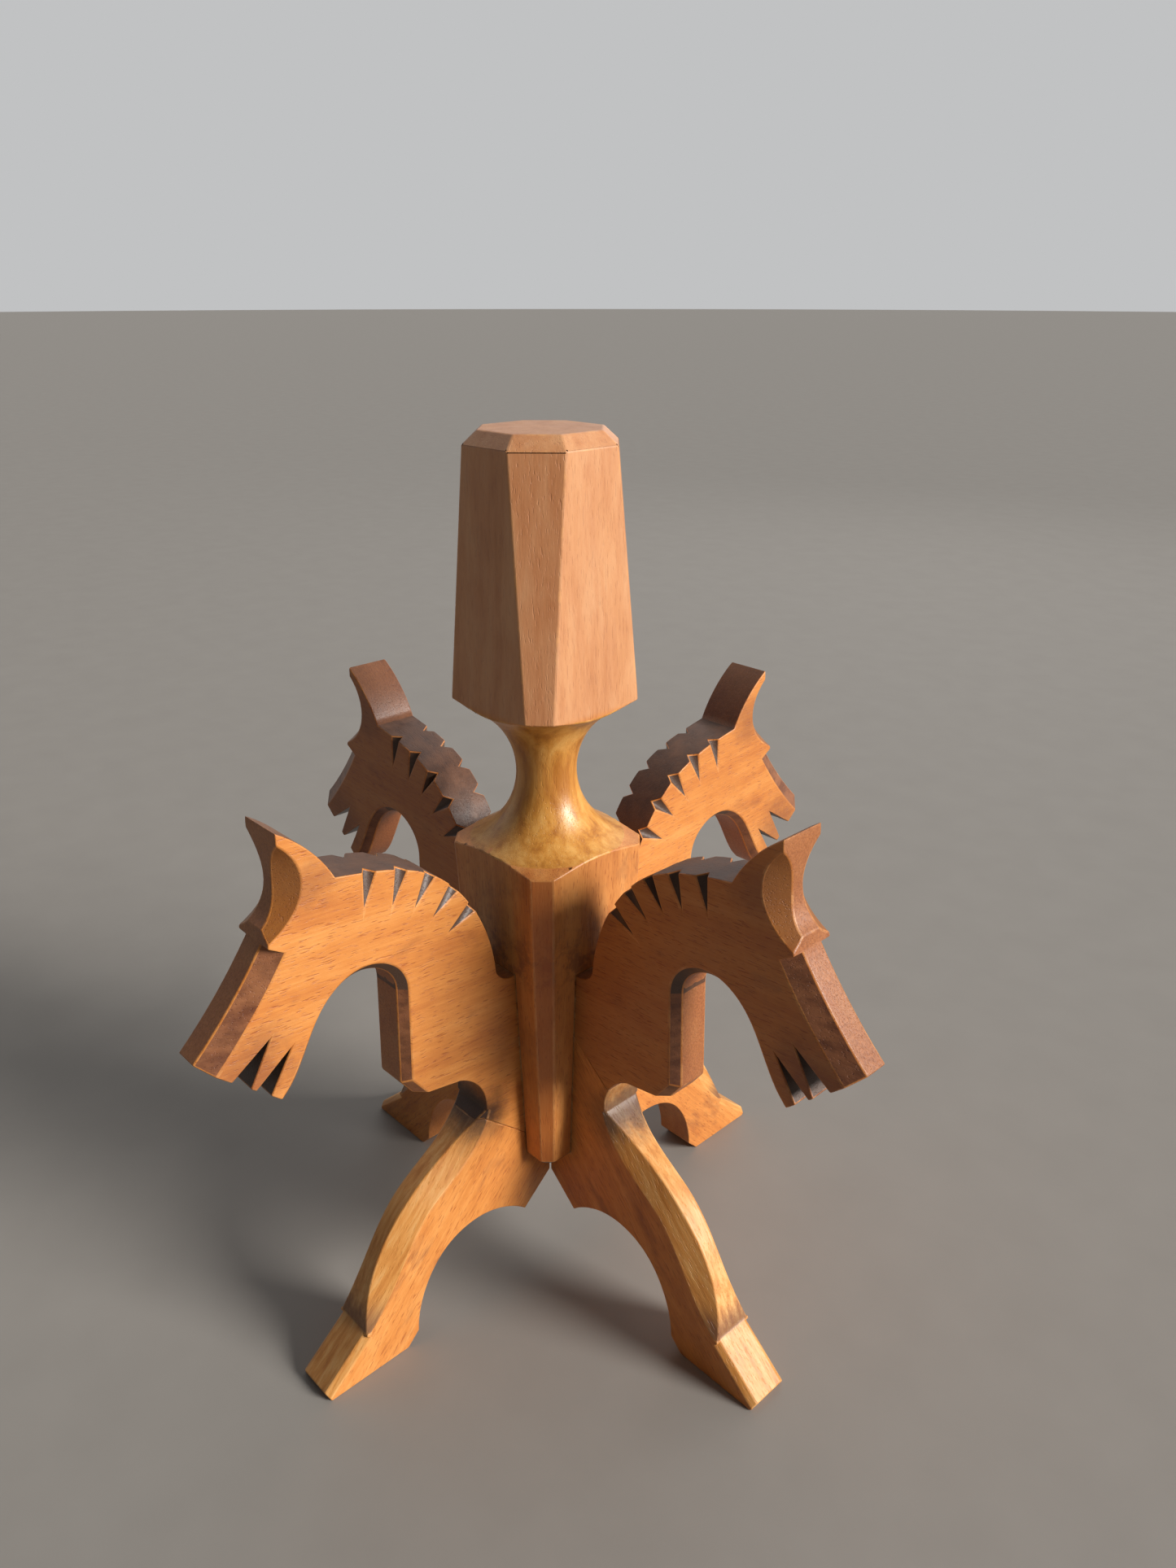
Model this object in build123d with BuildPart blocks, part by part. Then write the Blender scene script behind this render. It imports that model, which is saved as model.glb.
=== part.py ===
"""Knock-down mug tree: four board horses held together by one slotted post.

Millimetres, +Z up. The origin is on the table, on the post's axis. The four horses face
-Y (front), +X (right), +Y (back) and -X (left). Each horse is drawn once, looking along +X:
"reach" is the distance out from the axis and "height" the distance up from the table.
"""
import os
from math import hypot, sqrt

from build123d import *

# ---- boards and fits -------------------------------------------------------------------
board = 12.0               # thickness of every horse board
slot_clearance = 0.15      # air on each side of a board in the post's slots
seat_gap = 0.05            # post's kerf end above the tenon tops
butt_gap = 0.1             # air between two horses where their inner ends meet
seat_height = 94.0         # top of the tenons, where the post lands
half_board = board / 2

# ---- post ------------------------------------------------------------------------------
prong_length = 56.5        # kerf end down to the prong tips
prong_half = 14.3          # half width across flats at the tips
seat_half = 16.7           # the same at the kerf end
cove_rise = 48.0           # kerf end up to the middle of the turned cove
cove_radius = 18.9         # radius of the cove's hollow
neck_radius = 7.25         # thinnest part of the turned neck
finial_length = 78.5       # middle of the cove up to the top of the post
finial_foot_half = 17.9    # half width of the upper block where its taper starts
finial_top_half = 15.9     # half width of the upper block at its top
tip_corner = 2.5           # corner flat, measured along each side, at the prong tips
seat_corner = 3.4          # the same at the kerf end
finial_foot_corner = 3.2   # corner flat where the upper block starts
finial_top_corner = 8.8    # corner flat at the top
tip_bevel = 1.5            # bevel round the prong tips
top_bevel = 3.0            # bevel round the top of the post
slot_corner = 2.4          # rounding of the prongs' inner corners

# ---- horse, reaches measured from the foot of the neck, heights from the seat ------------
neck_clearance = 0.5       # neck foot outside the post's face at the seat
ear_reach = 57.8
ear_rise = 57.2
crest_reach = 45.6         # back of the ear, where the mane ends
crest_rise = 43.4
brow_reach = 62.2
brow_rise = 34.6
muzzle_reach = 79.6
muzzle_rise = 12.6
chin_reach = 61.6
chin_drop = 4.2
hook_reach = 41.6          # crown of the throat arch, where a mug hangs
hook_rise = 18.1
chest_reach = 32.2
chest_drop = 15.6          # lower end of the chest's straight front
belly_drop = 22.2
crotch_reach = 9.6         # where the leg leaves the body
crotch_drop = 35.4

# ---- leg, heights measured from the table ------------------------------------------------
toe_reach = 61.0
heel_reach = 37.4
heel_rise = 3.6
fetlock_reach = 48.9
fetlock_height = 12.4
knee_reach = 32.4
knee_share = 0.713         # height of the knee as a share of the crotch's height
calf_reach = 44.2
calf_share = 0.43
leg_arch_reach = 15.0
leg_arch_height = 27.2
tenon_foot_reach = 15.2    # lowest inner corner of the tenon, measured from the axis
tenon_foot_height = 20.3
tenon_foot_slope = 0.89    # rise of the diagonal cut toward the axis

# ---- carving, each flat by its share of the board's thickness and its width on the side ---
nose_cut = (3.0, 4.4)
leg_cut = (4.0, 6.0)       # widest at the knee, running out at both ends of the leg
guide_gap = 0.6            # the line that the leg's flats follow stands this far off the shin
foot_cut = (1.4, 1.4)
chest_cut = 2.2            # flats on the chest's front edges
mane_cuts = 5
mane_pitch = 8.3           # spacing of the mane cuts along the crest
chip_overrun = 0.6         # a chip is cut from this far outside the crest
chip_growth = 1.25         # and its pyramid is carried this much past the side of the board
mane_first = 8.2           # first cut behind the ear
mane_width = 3.7
mane_depth = 9.2           # how far a chip reaches down the side of the board
mane_inset = 2.6           # how far it reaches across the crest
mouth_depth = 11.0
mouth_cuts = ((11.2, 5.2), (17.4, 4.2))   # distance down the muzzle end, width of each cut
scoop_radius = 14.0        # knife scoop on each side of the ear
scoop_reach = 79.0
scoop_rise = 45.6

# ---- where the four inner ends meet, as plan points from the axis ------------------------
junction_x = -0.14 * half_board
junction_y = -0.79 * half_board

neck_foot = seat_half + neck_clearance
crotch_height = seat_height - crotch_drop
figure_top = seat_height + ear_rise
far = 2 * (neck_foot + muzzle_reach)


def at(reach, rise):
    """Outline point from a reach beyond the neck foot and a rise above the seat."""
    return (neck_foot + reach, seat_height + rise)


def rims(part, curve):
    """The two edges that one stretch of the outline leaves on the sides of a board."""
    middle = curve @ 0.5
    found = []
    for edge in part.edges():
        spot = edge @ 0.5
        on_side = abs(abs(spot.Y) - half_board) < 1e-4
        if on_side and hypot(spot.X - middle.X, spot.Z - middle.Y) < 0.05:
            found.append(edge)
    return found


# ---- one whole horse, before it is cut into its two boards --------------------------------
brow_tip = at(brow_reach, brow_rise - 1.4)
lip_back = at(brow_reach - 6.4, brow_rise - 5.4)
muzzle_tip = at(muzzle_reach, muzzle_rise)
chin = at(chin_reach, -chin_drop)
knee = (neck_foot + knee_reach, knee_share * crotch_height)
calf = (neck_foot + calf_reach, calf_share * crotch_height)
fetlock = (neck_foot + fetlock_reach, fetlock_height)

with BuildPart() as figure:
    with BuildSketch(Plane.XZ) as outline:
        with BuildLine():
            tenon_top = Line((-half_board, seat_height), at(0, 0))
            valley = ThreePointArc(tenon_top @ 1, at(2.9, 0.7), at(4.9, 3.4))
            crest = Spline(
                valley @ 1,
                at(7.4, 15.4),
                at(13.2, 26.6),
                at(22.7, 36.1),
                at(32.8, 40.5),
                at(crest_reach, crest_rise),
            )
            ear_back = ThreePointArc(crest @ 1, at(50.8, 51.2), at(ear_reach, ear_rise))
            ear_front = Spline(
                ear_back @ 1,
                at(ear_reach - 0.2, ear_rise - 9.2),
                at(ear_reach + 0.3, ear_rise - 15.6),
                at(brow_reach - 0.6, brow_rise + 1.6),
            )
            brow = Line(ear_front @ 1, brow_tip)
            nose_front = ThreePointArc(brow @ 1, at(70.0, 22.8), muzzle_tip)
            muzzle_end = Line(nose_front @ 1, chin)
            chin_flat = Line(muzzle_end @ 1, at(chin_reach - 1.8, 1.9 - chin_drop))
            throat = Spline(
                chin_flat @ 1,
                at(53.3, 8.8),
                at(48.4, 15.2),
                at(hook_reach, hook_rise),
                at(35.0, 15.9),
                at(chest_reach - 0.3, 9.4),
            )
            chest = Line(throat @ 1, at(chest_reach + 0.4, -chest_drop))
            chest_foot = Line(chest @ 1, at(chest_reach - 2.8, -chest_drop - 4.4))
            belly = Line(chest_foot @ 1, at(17.0, -belly_drop))
            crotch = ThreePointArc(
                belly @ 1, at(crotch_reach + 1.7, -27.0), at(crotch_reach, -crotch_drop)
            )
            shin = Spline(
                crotch @ 1,
                (neck_foot + 14.6, crotch_height - 4.4),
                knee,
                calf,
                fetlock,
            )
            foot = Spline(
                shin @ 1,
                (neck_foot + fetlock_reach + 5.6, 7.6),
                (neck_foot + toe_reach, 2.0),
            )
            toe = Line(foot @ 1, (neck_foot + toe_reach - 1.0, 0))
            sole = Line(toe @ 1, (neck_foot + heel_reach, 0))
            heel = Line(sole @ 1, (neck_foot + heel_reach - 3.5, heel_rise))
            inside = Spline(
                heel @ 1,
                (neck_foot + 31.2, 15.0),
                (neck_foot + 23.2, 24.7),
                (neck_foot + leg_arch_reach - 1.6, leg_arch_height),
                (neck_foot + 5.2, 25.2),
                (tenon_foot_reach, tenon_foot_height),
            )
            diagonal_rise = tenon_foot_slope * (tenon_foot_reach + half_board)
            Polyline(
                inside @ 1,
                (-half_board, tenon_foot_height + diagonal_rise),
                tenon_top @ 0,
            )
        make_face()
    extrude(amount=half_board, both=True)
    chamfer(rims(figure.part, chest) + rims(figure.part, chest_foot), chest_cut)


def flatted(curve, cut, *inside):
    """What flats along one stretch of the outline take off, as a solid to cut away.

    The inside points close the stretch to a strip that lies within the board.
    """
    with BuildSketch(Plane.XZ.offset(-half_board)) as strip:
        with BuildLine():
            add(curve)
            Polyline(curve @ 1, *inside, curve @ 0)
        make_face()
    middle = Vector((curve @ 0.5).X, 0, (curve @ 0.5).Y)
    with BuildPart() as cut_strip:
        extrude(strip.sketch, amount=board)
        narrow_side = min(cut_strip.faces(), key=lambda face: face.distance_to(middle))
        chamfer(rims(cut_strip.part, curve), *cut, reference=narrow_side)
    with BuildPart() as waste:
        extrude(strip.sketch, amount=board)
        add(cut_strip.part, mode=Mode.SUBTRACT)
    return waste.part


# The leg's flats follow a line just outside the shin, which leaves it at both ends by more
# than their width.
with BuildLine():
    shin_guide = Spline(
        (neck_foot + crotch_reach + 4.1, crotch_height + 4.6),
        (neck_foot + crotch_reach + 7.4, crotch_height - 3.6),
        (knee[0] + guide_gap, knee[1] + guide_gap),
        (calf[0] + guide_gap, calf[1] + guide_gap),
        (neck_foot + fetlock_reach + 5.8, fetlock_height + 2.1),
    )
nose_inside = (muzzle_end @ 0.55, at(40.0, 24.0), lip_back)
shin_inside = (
    (neck_foot + 24.0, 7.0),
    (neck_foot + 23.0, 0.6 * crotch_height),
    (neck_foot + crotch_reach - 6.0, crotch_height - 5.0),
)
foot_inside = (toe @ 1, (neck_foot + 46.0, 0), (neck_foot + 43.0, 6.0))
wastes = (
    flatted(nose_front, nose_cut, *nose_inside),
    flatted(shin_guide, leg_cut, *shin_inside),
    flatted(foot, foot_cut, *foot_inside),
)

with BuildPart() as horse:
    add(figure.part)
    add(wastes, mode=Mode.SUBTRACT)

    # Mane: chips cut out of both edges of the crest, running out to a point on its top.
    for number in range(mane_cuts):
        along = crest.length - mane_first - number * mane_pitch
        spot = crest.position_at(along, position_mode=PositionMode.LENGTH)
        way = crest.tangent_at(along, position_mode=PositionMode.LENGTH)
        ahead = Vector(way.X, 0, way.Y)
        outward = Vector(-way.Y, 0, way.X)
        ridge = Vector(spot.X, 0, spot.Y) + outward * chip_overrun
        for side in (-1, 1):
            point = ridge + Vector(0, side * (half_board - mane_inset), 0)
            corners = (
                Vector(0, side * mane_inset, 0) - ahead * (mane_width / 2),
                Vector(0, side * mane_inset, 0) + ahead * (mane_width / 2),
                Vector(0, side * mane_inset, 0) - outward * (mane_depth + chip_overrun),
            )
            with BuildLine() as opening:
                Polyline(*[point + corner * chip_growth for corner in corners], close=True)
            loft([Face(opening.wire()), Vertex(*point)], mode=Mode.SUBTRACT)

    # Mouth: two vees square to the muzzle's end.
    with BuildSketch(Plane.XZ):
        down = muzzle_end % 0.5
        into = Vector(down.Y, -down.X)
        for distance, width in mouth_cuts:
            spot = muzzle_end @ 0 + down * distance
            with BuildLine():
                Polyline(
                    spot - down * (width / 2),
                    spot - into * 2,
                    spot + down * (width / 2),
                    spot + into * mouth_depth,
                    close=True,
                )
            make_face()
    extrude(amount=board, both=True, mode=Mode.SUBTRACT)

    # Ears: one round scoop across each front corner.
    for side in (-1, 1):
        across = Vector(1, -side, 0) / sqrt(2)
        centre = Vector(neck_foot + scoop_reach - half_board, side * half_board, 0)
        centre = centre + Vector(0, 0, seat_height + scoop_rise)
        with BuildSketch(Plane(origin=centre, x_dir=(0, 0, 1), z_dir=across)):
            Circle(scoop_radius)
        extrude(amount=4 * board, both=True, mode=Mode.SUBTRACT)


# ---- the four horses: name, heading, glued seam and inner end -----------------------------
# A seam is its reach and height at the crotch and its height on the axis, where the falling
# seam stays above the tenon's foot. An inner end is its points from the horse's left side to
# its right side, in reach and sideways distance.
falling_seam = (neck_foot + 9.8, seat_height - 37.6, tenon_foot_height + 12.2)
rising_seam = (neck_foot + 10.2, seat_height - 27.6, seat_height - 5.5)
square_end = ((half_board, half_board), (half_board, -half_board))
shallow_end = ((half_board, half_board), (-junction_y, junction_x), (half_board, -half_board))
slanted_end = ((half_board, half_board), (-junction_x, -junction_y), (half_board, -half_board))
keyed_end = (
    (half_board, half_board),
    (junction_y, -junction_x),
    (-half_board, -half_board),
    (half_board, -half_board),
)
horses = (
    ("front", -90, falling_seam, shallow_end),
    ("right", 0, rising_seam, square_end),
    ("back", 90, falling_seam, keyed_end),
    ("left", 180, rising_seam, slanted_end),
)

os.makedirs("parts", exist_ok=True)

for place, heading, seam, inner_end in horses:
    ahead = Vector(1, 0, 0).rotate(Axis.Z, heading)
    side_view = Plane(origin=(0, 0, 0), x_dir=ahead, z_dir=ahead.rotate(Axis.Z, -90))
    plan_view = Plane.XY.rotated((0, 0, heading))
    crotch_point, axis_height = seam[:2], seam[2]
    slope = (crotch_point[1] - axis_height) / crotch_point[0]

    with BuildPart() as blank:
        add(horse.part, rotation=(0, 0, heading))
        with BuildSketch(plan_view):
            with BuildLine():
                Polyline(
                    *[(reach + butt_gap, aside) for reach, aside in inner_end],
                    (far, -board),
                    (far, board),
                    close=True,
                )
            make_face()
        extrude(amount=2 * figure_top, mode=Mode.INTERSECT)

    # The seam runs from the axis to the crotch, then on through the open air under the belly.
    with BuildSketch(side_view) as head_side:
        with BuildLine():
            Polyline(
                (-board, axis_height - slope * board),
                crotch_point,
                (far, crotch_point[1]),
                (far, 2 * figure_top),
                (-board, 2 * figure_top),
                close=True,
            )
        make_face()

    with BuildPart() as head:
        add(blank.part)
        extrude(head_side.sketch, amount=board, both=True, mode=Mode.INTERSECT)
    head.part.label = f"{place}_horse_head"
    export_step(head.part, f"parts/{place}_horse_head.step")

    with BuildPart() as leg:
        add(blank.part)
        extrude(head_side.sketch, amount=board, both=True, mode=Mode.SUBTRACT)
    leg.part.label = f"{place}_horse_leg"
    export_step(leg.part, f"parts/{place}_horse_leg.step")

# ---- the post -----------------------------------------------------------------------------
post_foot = seat_height + seat_gap
cove_height = post_foot + cove_rise
shaft_taper = (seat_half - prong_half) / prong_length
corner_taper = (seat_corner - tip_corner) / prong_length
cove_half = seat_half + shaft_taper * cove_rise
cove_corner = seat_corner + corner_taper * cove_rise
slot_half = half_board + slot_clearance


def post_section(height, half_width, corner):
    """Square with flat corners, as a sketch at one height of the post."""
    with BuildSketch(Plane.XY.offset(height)) as section:
        Rectangle(2 * half_width, 2 * half_width)
        chamfer(section.vertices(), corner)
    return section.sketch


with BuildPart() as post:
    add(post_section(post_foot - prong_length, prong_half, tip_corner))
    add(post_section(cove_height, cove_half, cove_corner))
    loft()
    chamfer(post.faces().sort_by(Axis.Z)[0].edges(), tip_bevel)
    add(post_section(cove_height, finial_foot_half, finial_foot_corner))
    add(post_section(cove_height + finial_length, finial_top_half, finial_top_corner))
    loft()
    chamfer(post.faces().sort_by(Axis.Z)[-1].edges(), top_bevel)

    # The cove is turned, so it leaves scalloped shoulders where it meets the flats.
    with BuildSketch(Plane.XZ):
        with Locations((neck_radius + cove_radius, cove_height)):
            Circle(cove_radius)
            Rectangle(2 * seat_half, 2 * cove_radius, align=(Align.MIN, Align.CENTER))
    revolve(axis=Axis.Z, mode=Mode.SUBTRACT)

    # Cross-shaped kerf: what is left are the four prongs.
    with BuildSketch(Plane.XY.offset(post_foot)) as kerf:
        Rectangle(4 * seat_half, 2 * slot_half)
        Rectangle(2 * slot_half, 4 * seat_half)
        inner = [v for v in kerf.vertices() if abs(v.X) < board and abs(v.Y) < board]
        fillet(inner, slot_corner)
    extrude(amount=-2 * prong_length, mode=Mode.SUBTRACT)
post.part.label = "post"
export_step(post.part, "parts/post.step")
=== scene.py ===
"""Knock-down mug tree: four carved board horses held together by one slotted post."""

from math import radians

import bmesh
import bpy
from mathutils import Matrix, Vector
from mathutils.bvhtree import BVHTree


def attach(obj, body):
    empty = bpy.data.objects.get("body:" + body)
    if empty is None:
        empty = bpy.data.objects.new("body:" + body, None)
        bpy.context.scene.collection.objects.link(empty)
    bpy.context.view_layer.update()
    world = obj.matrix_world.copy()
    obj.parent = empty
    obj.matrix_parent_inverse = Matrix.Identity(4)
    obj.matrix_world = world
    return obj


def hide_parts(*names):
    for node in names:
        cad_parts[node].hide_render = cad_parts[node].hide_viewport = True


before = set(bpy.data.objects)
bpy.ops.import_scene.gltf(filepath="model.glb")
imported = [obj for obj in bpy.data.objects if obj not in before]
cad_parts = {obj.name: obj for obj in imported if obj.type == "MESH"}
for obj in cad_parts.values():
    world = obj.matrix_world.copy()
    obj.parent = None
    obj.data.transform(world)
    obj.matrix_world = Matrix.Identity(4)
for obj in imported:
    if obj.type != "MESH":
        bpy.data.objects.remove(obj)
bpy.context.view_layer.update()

MM = 0.001
HEADINGS = {"front": -90, "right": 0, "back": 90, "left": 180}

# Heights and reaches that the finishes follow, in millimetres from the table and the axis.
SEAT = 94.0            # tops of the tenons, where the post lands
PRONG_TIP = 37.6       # lower ends of the post's prongs when it is home
PRONG_HALF = 14.3      # half width of the post at its prong tips
SEAT_HALF = 16.7       # and at the seat
SLOT_WALL = 6.35       # just beyond the walls of the post's slots
COVE_FOOT = 122.5      # lower shoulder of the turned neck
COVE_TOP = 162.0       # upper shoulder
CROTCH = (26.8, 57.5)  # notch between belly and leg
FETLOCK = 13.0         # where the foot starts
EAR_FOOT = 128.0       # the ears' scoops start above this, and the nose ends just below it
CREST_END = 63.0       # reach where the mane meets the ear
CREST_TOP = 137.4      # height where it does
TEMPLE = (69, 138)     # stained spot beside the brow, as reach and height
LIPS = (86, 101)       # stained spot round the mouth
SHEEN_SPOT_ON_MANE = (24, 112)     # painted sheen: pale grey patches on the left horse's mane
BURL = (14.5, SEAT)    # knot on the back horse's tenon


# ---- meshes -------------------------------------------------------------------------------
def softened(node, edge_round):
    """Merged copy of a CAD node with its outer edges rounded: its bmesh and the new faces."""
    form = bmesh.new()
    form.from_mesh(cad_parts[node].data)
    bmesh.ops.remove_doubles(form, verts=form.verts, dist=0.002 * MM)
    bmesh.ops.dissolve_limit(
        form, angle_limit=radians(0.4), verts=form.verts, edges=form.edges
    )
    outer = [
        edge
        for edge in form.edges
        if len(edge.link_faces) == 2 and edge.calc_face_angle_signed() > radians(24)
    ]
    rounded = bmesh.ops.bevel(
        form,
        geom=outer,
        offset=edge_round,
        offset_type="OFFSET",
        affect="EDGES",
        segments=3,
        profile=0.5,
        material=-1,
        clamp_overlap=False,
        loop_slide=True,
    )
    form.normal_update()
    return form, set(rounded["faces"])


def marked(form, marks_of):
    """Write each face's marks to its corners as the colour attribute that the finishes read."""
    layer = form.loops.layers.float_color.new("marks")
    for face in form.faces:
        marks = marks_of(face)
        for corner in face.loops:
            corner[layer] = marks
        face.smooth = True


def finished(form, name, material, body, node):
    """Turn a worked bmesh into a piece that stands for its CAD node."""
    mesh = bpy.data.meshes.new(name)
    form.to_mesh(mesh)
    form.free()
    mesh.set_sharp_from_angle(angle=radians(32))
    mesh.materials.append(material)
    piece = bpy.data.objects.new(name, mesh)
    bpy.context.scene.collection.objects.link(piece)
    weighted = piece.modifiers.new("even_shading", "WEIGHTED_NORMAL")
    weighted.keep_sharp = True
    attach(piece, body)
    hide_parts(node)
    return piece


# ---- finishes -----------------------------------------------------------------------------
def tint(red, green, blue):
    """Scene colour from the 0 to 255 numbers of a paint chart."""
    def linear(value):
        value = value / 255
        return value / 12.92 if value < 0.04045 else ((value + 0.055) / 1.055) ** 2.4

    return (linear(red), linear(green), linear(blue), 1.0)


class Finish:
    """A material and short ways to add and join its nodes."""

    def __init__(self, name):
        self.material = bpy.data.materials.new(name)
        self.material.use_nodes = True
        self.tree = self.material.node_tree
        self.tree.nodes.clear()
        self.object_place = self.new("TexCoord").outputs["Object"]

    def new(self, kind, **settings):
        node = self.tree.nodes.new("ShaderNode" + kind)
        for setting, value in settings.items():
            setattr(node, setting, value)
        return node

    def fill(self, socket, value):
        if isinstance(value, bpy.types.NodeSocket):
            self.tree.links.new(value, socket)
        else:
            socket.default_value = value

    def math(self, operation, first, second=0.0, clamp=False):
        node = self.new("Math", operation=operation, use_clamp=clamp)
        self.fill(node.inputs[0], first)
        self.fill(node.inputs[1], second)
        return node.outputs[0]

    def times(self, first, *others):
        for other in others:
            first = self.math("MULTIPLY", first, other, clamp=True)
        return first

    def either(self, first, *others):
        for other in others:
            first = self.math("MAXIMUM", first, other, clamp=True)
        return first

    def beyond(self, value, start, end):
        """0 up to start and 1 from end on, or the other way round if end is lower."""
        node = self.new("MapRange", interpolation_type="SMOOTHSTEP")
        self.fill(node.inputs["Value"], value)
        low, high = min(start, end), max(start, end)
        node.inputs["From Min"].default_value = low
        node.inputs["From Max"].default_value = high
        node.inputs["To Min"].default_value = 0.0 if start < end else 1.0
        node.inputs["To Max"].default_value = 1.0 if start < end else 0.0
        return node.outputs["Result"]

    def placed(self, vector, turn=(0, 0, 0), shift=(0, 0, 0), scale=(1, 1, 1)):
        node = self.new("Mapping")
        self.fill(node.inputs["Vector"], vector)
        node.inputs["Location"].default_value = shift
        node.inputs["Rotation"].default_value = [radians(angle) for angle in turn]
        node.inputs["Scale"].default_value = scale
        return node.outputs["Vector"]

    def noise(self, vector, size, detail=2.0, rough=0.5, swirl=0.0):
        """Noise whose features are about as long as size, one number or three."""
        sizes = size if isinstance(size, tuple) else (size, size, size)
        node = self.new("TexNoise")
        scaled = self.placed(vector, scale=[1 / each for each in sizes])
        self.fill(node.inputs["Vector"], scaled)
        node.inputs["Scale"].default_value = 1.0
        node.inputs["Detail"].default_value = detail
        node.inputs["Roughness"].default_value = rough
        node.inputs["Distortion"].default_value = swirl
        return node.outputs["Fac"]

    def axes(self, vector):
        node = self.new("SeparateXYZ")
        self.fill(node.inputs[0], vector)
        return node.outputs["X"], node.outputs["Y"], node.outputs["Z"]

    def mix(self, share, first, second, way="MIX"):
        node = self.new("Mix", data_type="RGBA", blend_type=way)
        self.fill(node.inputs[0], share)
        self.fill(node.inputs[6], first)
        self.fill(node.inputs[7], second)
        return node.outputs[2]

    def ramp(self, value, *stops):
        node = self.new("ValToRGB")
        self.fill(node.inputs[0], value)
        band = node.color_ramp
        for index, (position, colour) in enumerate(stops):
            element = band.elements[index] if index < 2 else band.elements.new(position)
            element.position = position
            element.color = colour
        return node.outputs["Color"]

    def marks(self):
        """The four face marks: worn edge, rim, dark and flat."""
        node = self.new("Attribute", attribute_name="marks")
        split = self.new("SeparateColor")
        self.fill(split.inputs[0], node.outputs["Color"])
        return (*split.outputs[:3], node.outputs["Alpha"])

    def near(self, reach, height, spot, radius, swell):
        """1 at a spot on the side of a horse, fading out at a radius that the swell disturbs."""
        across = self.math("SUBTRACT", reach, spot[0])
        above = self.math("SUBTRACT", height, spot[1])
        squares = self.math(
            "ADD", self.math("MULTIPLY", across, across), self.math("MULTIPLY", above, above)
        )
        distance = self.math("SQRT", squares)
        disturbed = self.math("ADD", distance, self.math("MULTIPLY", swell, -radius))
        return self.beyond(disturbed, 0.55 * radius, -0.35 * radius)

    def close(self, colour, roughness, height, relief, coat):
        """Join colour, roughness and relief to the surface."""
        bump = self.new("Bump")
        bump.inputs["Strength"].default_value = 1.0
        bump.inputs["Distance"].default_value = relief * MM
        self.fill(bump.inputs["Height"], height)
        surface = self.new("BsdfPrincipled")
        surface.inputs["IOR"].default_value = 1.48
        surface.inputs["Coat Weight"].default_value = coat
        surface.inputs["Coat Roughness"].default_value = 0.32
        self.fill(surface.inputs["Base Color"], colour)
        self.fill(surface.inputs["Roughness"], roughness)
        self.fill(surface.inputs["Normal"], bump.outputs["Normal"])
        output = self.new("OutputMaterial")
        self.fill(output.inputs["Surface"], surface.outputs[0])
        return self.material


def timber(finish, grain, deep, middle, light):
    """Close-grained hardwood along the grain's X axis: its colour, fibres and pores."""
    broad = finish.noise(grain, (70, 7, 7), detail=3, rough=0.55, swirl=0.6)
    figure = finish.noise(grain, (9, 5, 5), detail=3, rough=0.6, swirl=0.4)
    fibres = finish.noise(grain, (14, 0.55, 0.55), detail=4, rough=0.65)
    dashes = finish.noise(grain, (2.6, 0.3, 0.3), detail=1, rough=0.5)
    pores = finish.beyond(dashes, 0.6, 0.72)
    tone = finish.math("MULTIPLY", broad, 0.45)
    tone = finish.math("ADD", tone, finish.math("MULTIPLY", figure, 0.25))
    tone = finish.math("ADD", tone, finish.math("MULTIPLY", fibres, 0.3))
    colour = finish.ramp(tone, (0.36, deep), (0.5, middle), (0.64, light))
    colour = finish.mix(finish.times(pores, 0.5), colour, PORE, "MULTIPLY")
    return colour, fibres, pores


STAIN_AND_SHADE_DARKENING = {"right": 0.34, "left": 0.45}   # how much redder and darker their heads are made: part stain, part painted shade
PLUM_STAIN = tint(110, 58, 42)
PORE = tint(178, 110, 76)
SOOT = tint(34, 24, 20)
# Painted shade for the walls of the knife cuts and the mane's chips.
SHADE_IN_CUTS = tint(84, 60, 46)
WORN = tint(228, 164, 100)
BARE = tint(232, 196, 140)
BARE_LIGHT = tint(240, 216, 172)
BARE_DEEP = tint(208, 160, 98)
BURN = tint(66, 42, 30)


def bare_wood(finish, grain, burnt):
    """Raw pale wood that the stain never reached, with scorched patches where burnt is 1."""
    colour, fibres, pores = timber(finish, grain, BARE_DEEP, BARE, BARE_LIGHT)
    mottle = finish.noise(grain, (2.4, 1.6, 1.6), detail=4, rough=0.7)
    scorch = finish.ramp(mottle, (0.36, BURN), (0.5, tint(92, 58, 36)), (0.64, tint(156, 104, 56)))
    return finish.mix(finish.times(burnt, 0.92), colour, scorch)


def relief_of(finish, fibres, pores, scars):
    """Height of the surface for the bump: fibres and scars stand up, pores go down."""
    height = finish.math("MULTIPLY", fibres, 0.35)
    height = finish.math("SUBTRACT", height, finish.math("MULTIPLY", pores, 0.3))
    return finish.math("ADD", height, finish.math("MULTIPLY", scars, 0.35))


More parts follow.
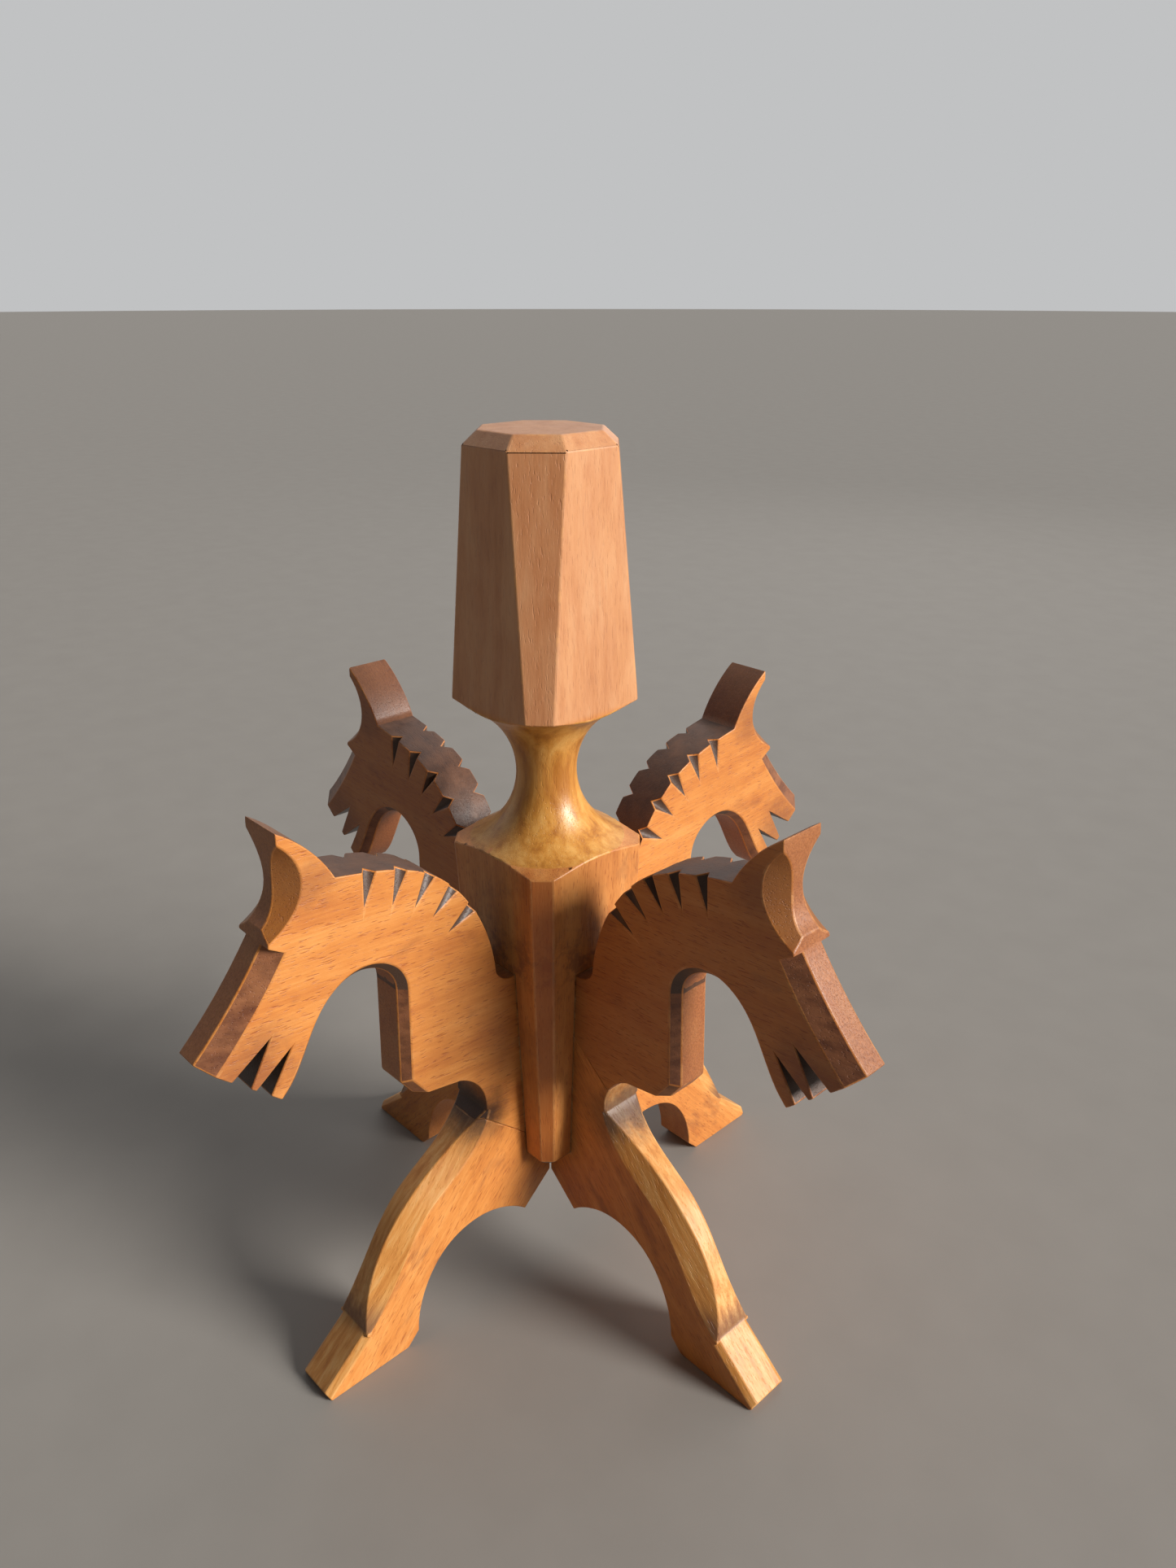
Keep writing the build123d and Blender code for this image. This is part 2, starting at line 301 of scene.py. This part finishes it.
def tenon_masks(finish, reach, height, grain):
    """Where a horse's board is bare under the post, and where that bare wood is scorched."""
    slope = (SEAT_HALF - PRONG_HALF) / (SEAT - PRONG_TIP)
    edge = finish.math("MULTIPLY", finish.math("SUBTRACT", height, PRONG_TIP), slope)
    edge = finish.math("ADD", edge, PRONG_HALF)
    waver = finish.noise(grain, 1.8, detail=2)
    inside = finish.math("SUBTRACT", edge, reach)
    inside = finish.math("ADD", inside, finish.math("MULTIPLY", waver, 0.5))
    covered = finish.times(
        finish.beyond(inside, 0.1, 0.7), finish.beyond(height, PRONG_TIP, PRONG_TIP + 1.5)
    )
    blotch = finish.noise(grain, (11.0, 6.0, 6.0), detail=4, rough=0.6)
    low = finish.beyond(height, 56, 40)
    high = finish.times(
        finish.beyond(height, SEAT - 14, SEAT - 2), finish.beyond(height, SEAT - 0.1, SEAT - 0.5)
    )
    heat = finish.math("ADD", finish.math("MULTIPLY", low, 0.24), blotch)
    heat = finish.math("ADD", heat, finish.math("MULTIPLY", high, 0.1))
    off_top = finish.either(finish.beyond(height, SEAT - 0.05, SEAT - 0.4), 0.25)
    return covered, finish.times(finish.beyond(heat, 0.55, 0.74), off_top)


def head_finish(place, seed):
    """Stained head board with a dark nose and mane, an ear back darkened partly by painted shade, painted
    shade in its knife cuts and a bare tenon.
    """
    finish = Finish(f"stained_head_board_{place}")
    local = finish.placed(
        finish.object_place, turn=(0, 0, -HEADINGS[place]), scale=(1 / MM, 1 / MM, 1 / MM)
    )
    reach, _, height = finish.axes(local)
    grain = finish.placed(local, turn=(0, 4, 0), shift=(211 * seed, 97 * seed, 53 * seed))
    worn, rim, dark, flat = finish.marks()
    colour, fibres, pores = timber(
        finish, grain, tint(188, 110, 50), tint(208, 132, 62), tint(220, 149, 79)
    )
    # Part stain, part painted shade: the right and left heads are darkened and reddened all over.
    colour = finish.mix(STAIN_AND_SHADE_DARKENING.get(place, 0.0), colour, tint(128, 62, 34))
    swell = finish.noise(grain, 5.0, detail=4, rough=0.7)
    blotches = finish.beyond(finish.noise(grain, (17, 13, 13), detail=4, rough=0.6), 0.57, 0.7)
    temple = finish.near(reach, height, TEMPLE, 9, swell)
    lips = finish.near(reach, height, LIPS, 14, swell)
    stained = finish.either(finish.times(blotches, 0.45), finish.times(temple, 0.8), lips)
    colour = finish.mix(finish.times(stained, 0.55), colour, PLUM_STAIN)

    on_nose = finish.times(finish.beyond(flat, 0.6, 0.9), finish.beyond(height, EAR_FOOT + 1, EAR_FOOT - 1))
    banded = finish.noise(grain, (9, 4, 3), detail=3, rough=0.6)
    nose = finish.ramp(banded, (0.36, tint(84, 48, 38)), (0.62, tint(134, 86, 60)))
    colour = finish.mix(finish.times(on_nose, 0.85), colour, nose)
    in_ear = finish.times(finish.beyond(flat, 0.2, 0.4), finish.beyond(flat, 0.9, 0.6))
    colour = finish.mix(finish.times(in_ear, 0.7), colour, tint(128, 78, 34))
    rim_tone = finish.ramp(fibres, (0.35, tint(112, 66, 42)), (0.65, tint(158, 98, 64)))
    colour = finish.mix(finish.times(rim, 0.6), colour, rim_tone)

    on_mane = finish.times(finish.beyond(dark, 0.2, 0.5), finish.beyond(dark, 0.95, 0.8))
    smoked = finish.ramp(swell, (0.3, tint(48, 32, 25)), (0.7, tint(98, 68, 50)))
    colour = finish.mix(finish.times(on_mane, 0.88), colour, smoked)
    # Painted shade in the knife cuts and the mane's chips.
    colour = finish.mix(finish.beyond(dark, 0.8, 0.95), colour, SHADE_IN_CUTS)

    # Painted sheen: pale grey patches on the left horse's mane.
    if place == "left":
        sheen_patches = finish.beyond(finish.noise(grain, (5.0, 3.0, 3.0), detail=3), 0.46, 0.62)
        sheen_on_mane = finish.times(finish.near(reach, height, SHEEN_SPOT_ON_MANE, 13, swell), sheen_patches, on_mane)
        colour = finish.mix(finish.times(sheen_on_mane, 0.5), colour, tint(190, 162, 142))
    notch = finish.near(reach, height, CROTCH, 9, swell)
    colour = finish.mix(finish.times(notch, 0.85), colour, SOOT)
    covered, burnt = tenon_masks(finish, reach, height, grain)
    colour = finish.mix(covered, colour, bare_wood(finish, grain, burnt))
    if place == "back":
        burl = finish.near(reach, height, BURL, 4.0, swell)
        colour = finish.mix(finish.times(burl, 0.8), colour, tint(112, 74, 40))

    rubbed = finish.times(worn, finish.beyond(swell, 0.47, 0.64), finish.beyond(dark, 0.5, 0.2))
    colour = finish.mix(finish.times(rubbed, 0.35), colour, WORN)
    roughness = finish.math("ADD", finish.math("MULTIPLY", swell, 0.22), 0.34)
    roughness = finish.math("ADD", roughness, finish.times(covered, 0.25))
    height_map = relief_of(finish, fibres, pores, swell)
    return finish.close(colour, roughness, height_map, relief=0.16, coat=0.12)


def leg_finish(place, seed):
    """Stained leg board with a front rubbed pale, a dark fetlock and a bare tenon."""
    finish = Finish(f"stained_leg_board_{place}")
    local = finish.placed(
        finish.object_place, turn=(0, 0, -HEADINGS[place]), scale=(1 / MM, 1 / MM, 1 / MM)
    )
    reach, _, height = finish.axes(local)
    grain = finish.placed(local, turn=(0, -48, 0), shift=(173 * seed, 61 * seed, 89 * seed))
    worn, rim, front, flat = finish.marks()
    colour, fibres, pores = timber(
        finish, grain, tint(186, 110, 50), tint(210, 134, 64), tint(224, 154, 84)
    )
    swell = finish.noise(grain, 5.0, detail=4, rough=0.7)
    blotches = finish.beyond(finish.noise(grain, (22, 9, 9), detail=4, rough=0.6), 0.56, 0.7)
    colour = finish.mix(finish.times(blotches, 0.4), colour, PLUM_STAIN)
    streaks = finish.noise(grain, (26, 1.6, 1.6), detail=4, rough=0.65)
    pale = finish.ramp(
        streaks, (0.36, tint(196, 126, 60)), (0.5, tint(220, 154, 82)), (0.64, tint(232, 178, 112))
    )
    colour = finish.mix(finish.times(front, 0.85), colour, pale)
    colour = finish.mix(finish.times(flat, 0.3), colour, tint(178, 118, 46))
    edge_tone = finish.times(rim, finish.beyond(front, 0.5, 0.2))
    colour = finish.mix(finish.times(edge_tone, 0.4), colour, tint(128, 76, 44))

    wavering = finish.math("ADD", height, finish.math("MULTIPLY", streaks, 8.0))
    above_foot = finish.times(
        finish.beyond(height, FETLOCK - 0.6, FETLOCK + 0.4), finish.beyond(wavering, 26, 18)
    )
    band = finish.times(finish.either(rim, flat, worn), front, above_foot)
    colour = finish.mix(finish.times(band, 0.72), colour, tint(96, 66, 56))
    notch = finish.near(reach, height, CROTCH, 11, swell)
    on_front = finish.math("ADD", finish.math("MULTIPLY", front, 0.35), 0.5)
    colour = finish.mix(finish.times(notch, on_front), colour, tint(62, 44, 38))
    covered, burnt = tenon_masks(finish, reach, height, grain)
    colour = finish.mix(covered, colour, bare_wood(finish, grain, burnt))

    rubbed = finish.times(worn, finish.beyond(swell, 0.47, 0.64))
    colour = finish.mix(finish.times(rubbed, 0.35), colour, WORN)
    roughness = finish.math("ADD", finish.math("MULTIPLY", swell, 0.22), 0.36)
    roughness = finish.math("ADD", roughness, finish.times(covered, 0.25))
    height_map = relief_of(finish, fibres, pores, swell)
    return finish.close(colour, roughness, height_map, relief=0.18, coat=0.1)


def post_finish():
    """Stained post with a golden cove, a rosy upper block and bare, scorched slots."""
    finish = Finish("stained_post")
    local = finish.placed(finish.object_place, scale=(1 / MM, 1 / MM, 1 / MM))
    aside, ahead, height = finish.axes(local)
    grain = finish.placed(local, turn=(0, 90, 0), shift=(40, 310, 120))
    worn, cove, dark, corner = finish.marks()
    colour, fibres, pores = timber(
        finish, grain, tint(184, 110, 52), tint(206, 133, 68), tint(220, 152, 86)
    )
    swell = finish.noise(grain, 4.5, detail=4, rough=0.7)
    blotches = finish.beyond(finish.noise(grain, (15, 10, 10), detail=4, rough=0.65), 0.56, 0.7)
    over_slots = finish.times(
        finish.beyond(height, SEAT - 4, SEAT + 2), finish.beyond(height, SEAT + 20, SEAT + 4)
    )
    stained = finish.either(
        finish.times(blotches, 0.4), finish.times(over_slots, finish.beyond(swell, 0.42, 0.62))
    )
    colour = finish.mix(finish.times(stained, 0.6), colour, PLUM_STAIN)
    colour = finish.mix(finish.times(corner, 0.6), colour, tint(186, 98, 30))

    rings = finish.noise(grain, (22, 4.0, 4.0), detail=4, rough=0.65, swirl=0.3)
    gold = finish.ramp(
        rings, (0.34, tint(168, 106, 38)), (0.5, tint(204, 142, 62)), (0.66, tint(222, 168, 90))
    )
    colour = finish.mix(finish.times(cove, 0.9), colour, gold)
    above = finish.beyond(height, COVE_TOP - 3, COVE_TOP - 1)
    block = finish.times(above, finish.beyond(cove, 0.5, 0.2))
    rosy = finish.ramp(
        rings, (0.3, tint(184, 123, 82)), (0.5, tint(200, 142, 100)), (0.7, tint(210, 158, 116))
    )
    colour = finish.mix(finish.times(block, 0.75), colour, rosy)

    from_wall = finish.math(
        "MINIMUM", finish.math("ABSOLUTE", aside), finish.math("ABSOLUTE", ahead)
    )
    in_slot = finish.times(
        finish.beyond(from_wall, SLOT_WALL + 0.15, SLOT_WALL),
        finish.beyond(height, SEAT + 0.6, SEAT + 0.3),
    )
    from_axis = finish.math(
        "MAXIMUM", finish.math("ABSOLUTE", aside), finish.math("ABSOLUTE", ahead)
    )
    blotch = finish.noise(grain, (9, 6, 6), detail=4, rough=0.7)
    ends = finish.either(
        finish.beyond(height, SEAT - 10, SEAT - 2), finish.beyond(height, 52, 42)
    )
    heat = finish.math("ADD", finish.math("MULTIPLY", ends, 0.16), blotch)
    burnt = finish.beyond(heat, 0.46, 0.6)
    raw = bare_wood(finish, grain, burnt)
    golden = finish.mix(finish.beyond(from_axis, 8, 13), raw, tint(168, 108, 44))
    colour = finish.mix(in_slot, colour, golden)
    colour = finish.mix(finish.times(dark, 0.75), colour, BURN)

    rubbed = finish.times(worn, finish.beyond(swell, 0.47, 0.64))
    colour = finish.mix(finish.times(rubbed, 0.4), colour, WORN)
    roughness = finish.math("ADD", finish.math("MULTIPLY", swell, 0.22), 0.34)
    roughness = finish.math("SUBTRACT", roughness, finish.times(cove, 0.1))
    height_map = relief_of(finish, fibres, pores, swell)
    return finish.close(colour, roughness, height_map, relief=0.14, coat=0.15)


# ---- the pieces ---------------------------------------------------------------------------
def horse_marks(place, form, rounded, is_head):
    """How to mark the faces of one of a horse's boards."""
    to_local = Matrix.Rotation(radians(-HEADINGS[place]), 3, "Z")
    tree = BVHTree.FromBMesh(form)

    def marks_of(face):
        way = to_local @ face.normal
        spot = to_local @ face.calc_center_median() / MM
        worn = 1.0 if face in rounded else 0.0
        rim = 1.0 if abs(way.y) < 0.3 else 0.0
        flat = 1.0 if 0.3 <= abs(way.y) < 0.93 and not worn else 0.0
        if not is_head:
            front = way.x > 0.1 and way.z > -0.5 and spot.z > 1.0
            return (worn, rim, 1.0 if front and not abs(way.y) > 0.93 else 0.0, flat)
        dark = 0.0
        # A rim face that looks at another face within 4.5 mm is a wall of a knife cut and is marked for
        # painted shade.
        outward = face.normal
        start = face.calc_center_median() + outward * 0.02 * MM
        hit = tree.ray_cast(start, outward, 4.5 * MM)
        if rim and not worn and hit[0] is not None:
            dark = 1.0
        elif rim and spot.z > SEAT + 1.5 and spot.x < CREST_END and way.z > -0.15:
            dark = 0.65
        # Ear backs get part of the mane's smoked tone; part of this darkness is painted shade.
        elif rim and spot.z > CREST_TOP and way.x < -0.1:
            dark = 0.38
        # Chip faces along the mane are marked for the same painted shade as the knife cuts.
        if flat and spot.z > SEAT + 1.5 and spot.x < CREST_END:
            return (0.0, 0.0, 1.0, 0.0)
        if flat and spot.z > EAR_FOOT:
            flat = 0.5
        return (worn, rim, dark, flat)

    return marks_of


def post_marks(rounded):
    """How to mark the faces of the post."""
    def marks_of(face):
        way = face.normal
        spot = face.calc_center_median() / MM
        worn = 1.0 if face in rounded else 0.0
        off_axis = Vector((spot.x, spot.y)).length
        cove = COVE_FOOT < spot.z < COVE_TOP and off_axis < 18.5 and len(face.verts) <= 4
        corner = min(abs(way.x), abs(way.y)) > 0.5 and not cove and not worn
        tip = spot.z < PRONG_TIP + 2.5 and way.z < -0.3
        return (worn, float(cove), float(tip), float(corner))

    return marks_of


for seed, place in enumerate(HEADINGS, start=1):
    body = f"{place}_horse"
    for part, make_finish in (("head", head_finish), ("leg", leg_finish)):
        node = f"{place}_horse_{part}"
        form, rounded = softened(node, 0.35 * MM)
        marked(form, horse_marks(place, form, rounded, part == "head"))
        finished(
            form, f"{place}_{part}_board", make_finish(place, seed), body, node
        )

form, rounded = softened("post", 0.4 * MM)
marked(form, post_marks(rounded))
finished(form, "slotted_post", post_finish(), "post", "post")


# ---- floor, light and camera --------------------------------------------------------------
def stage_floor():
    """Plain round floor, wide enough to reach the horizon."""
    form = bmesh.new()
    bmesh.ops.create_circle(form, cap_ends=True, segments=96, radius=12.0)
    mesh = bpy.data.meshes.new("floor")
    form.to_mesh(mesh)
    form.free()
    floor = bpy.data.objects.new("floor", mesh)
    bpy.context.scene.collection.objects.link(floor)
    finish = Finish("grey_floor")
    grain = finish.noise(finish.object_place, 0.02, detail=3)
    colour = finish.mix(grain, tint(142, 137, 131), tint(150, 145, 139))
    mesh.materials.append(finish.close(colour, 0.7, grain, relief=0.05, coat=0.0))


def lit(name, kind, spot, power, colour, **settings):
    """A lamp at a spot, aimed at the middle of the mug tree."""
    lamp = bpy.data.lights.new(name, kind)
    lamp.energy = power
    lamp.color = colour
    for setting, value in settings.items():
        setattr(lamp, setting, value)
    light = bpy.data.objects.new(name, lamp)
    light.location = spot
    aim = Vector((0.0, 0.0, 0.09)) - Vector(spot)
    light.rotation_euler = aim.to_track_quat("-Z", "Y").to_euler()
    bpy.context.scene.collection.objects.link(light)


stage_floor()
lit("window", "SUN", (0.80, 0.34, 0.46), 4.9, (1.0, 0.97, 0.93), angle=radians(24))
lit("fill", "AREA", (-0.4, 0.9, 0.7), 1.2, (0.97, 0.98, 1.0), shape="DISK", size=0.8)

# The room: a bright pale wall behind the mug tree and a dimmer side in front of it.
world = bpy.data.worlds.new("room")
world.use_nodes = True
room = world.node_tree
background = room.nodes["Background"]
background.inputs["Color"].default_value = (0.86, 0.87, 0.88, 1.0)
direction = room.nodes.new("ShaderNodeTexCoord")
toward_wall = room.nodes.new("ShaderNodeVectorMath")
toward_wall.operation = "DOT_PRODUCT"
toward_wall.inputs[1].default_value = (-0.72, 0.69, 0.0)
brightness = room.nodes.new("ShaderNodeMapRange")
brightness.interpolation_type = "SMOOTHSTEP"
brightness.inputs["From Min"].default_value = -0.4
brightness.inputs["From Max"].default_value = 0.7
brightness.inputs["To Min"].default_value = 0.05
brightness.inputs["To Max"].default_value = 0.62
room.links.new(direction.outputs["Generated"], toward_wall.inputs[0])
room.links.new(toward_wall.outputs["Value"], brightness.inputs["Value"])
room.links.new(brightness.outputs["Result"], background.inputs["Strength"])
bpy.context.scene.world = world
bpy.context.scene.view_settings.view_transform = "Standard"

lens = bpy.data.cameras.new("camera")
lens.sensor_width = 36.0
lens.lens = 27.01
camera = bpy.data.objects.new("camera", lens)
camera.location = (0.1957, -0.1720, 0.2491)
camera.rotation_euler = (radians(90 - 23.15), 0.0, radians(46.5))
bpy.context.scene.collection.objects.link(camera)
bpy.context.scene.camera = camera
